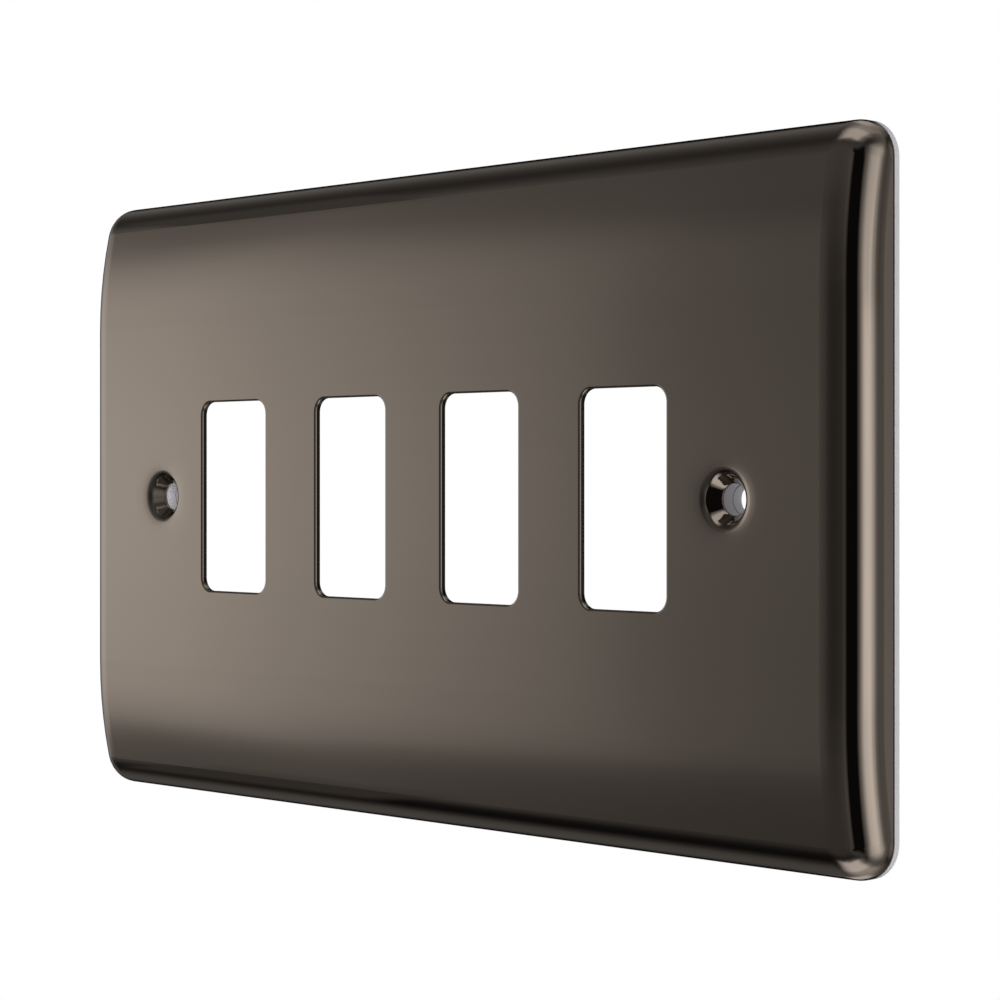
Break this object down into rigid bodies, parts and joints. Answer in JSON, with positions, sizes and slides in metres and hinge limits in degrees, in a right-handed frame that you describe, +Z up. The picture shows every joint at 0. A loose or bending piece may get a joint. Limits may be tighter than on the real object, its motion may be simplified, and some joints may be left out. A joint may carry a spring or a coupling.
{
  "type": "grid switch plate",
  "caption": "Crowned metal wall plate with a row of rectangular switch openings and dished screw holes, on a moulded liner that seats it against the wall.",
  "frame": {"origin": "centre of the plate's back, on the wall plane", "axes": "+X along the plate's length, to the right as seen from the front, +Y into the wall, +Z up"},
  "size_m": [0.146, 0.0078, 0.086],
  "materials": {
    "plated_metal": "mirror-polished black nickel plating on pressed steel",
    "liner_plastic": "natural pale grey moulding, slightly translucent"
  },
  "bodies": {
    "root": {"front_plate": "plated_metal", "rear_liner": "liner_plastic"}
  },
  "joints": []
}
